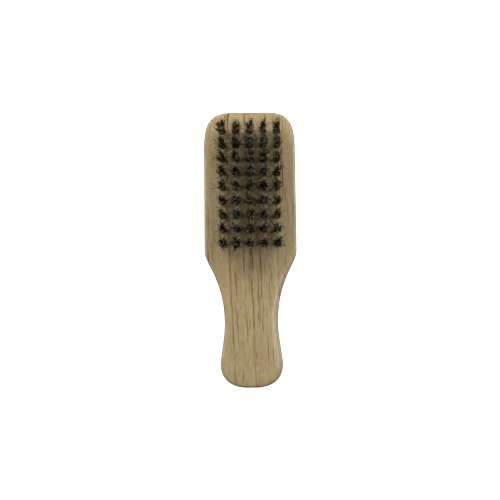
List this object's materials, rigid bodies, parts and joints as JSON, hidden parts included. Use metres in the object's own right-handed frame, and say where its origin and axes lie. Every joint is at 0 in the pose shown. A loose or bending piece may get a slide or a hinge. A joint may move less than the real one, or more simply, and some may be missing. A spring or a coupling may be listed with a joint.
{
  "type": "beard brush",
  "caption": "Small flat wooden brush with a waisted handle and a rectangular head filled with a grid of stiff dark bristle tufts.",
  "frame": {"origin": "centre of the flat back, midway between the end of the head and the butt of the handle", "axes": "+X across the head; +Y along the brush, from the handle's butt to the end of the head; +Z out of the face, along the bristles"},
  "size_m": [0.0434, 0.13, 0.025],
  "materials": {
    "wood": "satin lacquer",
    "bristle": "stiff dark bristle, slightly glossy",
    "anchor_metal": "drawn flat wire"
  },
  "bodies": {
    "root": {"paddle_body": "wood", "tuft_row1_col1": "bristle", "tuft_row1_col2": "bristle", "tuft_row1_col3": "bristle", "tuft_row1_col4": "bristle", "tuft_row1_col5": "bristle", "tuft_row2_col1": "bristle", "tuft_row2_col2": "bristle", "tuft_row2_col3": "bristle", "tuft_row2_col4": "bristle", "tuft_row2_col5": "bristle", "tuft_row3_col1": "bristle", "tuft_row3_col2": "bristle", "tuft_row3_col3": "bristle", "tuft_row3_col4": "bristle", "tuft_row3_col5": "bristle", "tuft_row4_col1": "bristle", "tuft_row4_col2": "bristle", "tuft_row4_col3": "bristle", "tuft_row4_col4": "bristle", "tuft_row4_col5": "bristle", "tuft_row5_col1": "bristle", "tuft_row5_col2": "bristle", "tuft_row5_col3": "bristle", "tuft_row5_col4": "bristle", "tuft_row5_col5": "bristle", "tuft_row6_col1": "bristle", "tuft_row6_col2": "bristle", "tuft_row6_col3": "bristle", "tuft_row6_col4": "bristle", "tuft_row6_col5": "bristle", "tuft_row7_col1": "bristle", "tuft_row7_col2": "bristle", "tuft_row7_col3": "bristle", "tuft_row7_col4": "bristle", "tuft_row7_col5": "bristle", "tuft_row8_col1": "bristle", "tuft_row8_col2": "bristle", "tuft_row8_col3": "bristle", "tuft_row8_col4": "bristle", "tuft_row8_col5": "bristle", "tuft_row9_col1": "bristle", "tuft_row9_col2": "bristle", "tuft_row9_col3": "bristle", "tuft_row9_col4": "bristle", "tuft_row9_col5": "bristle"}
  },
  "joints": []
}
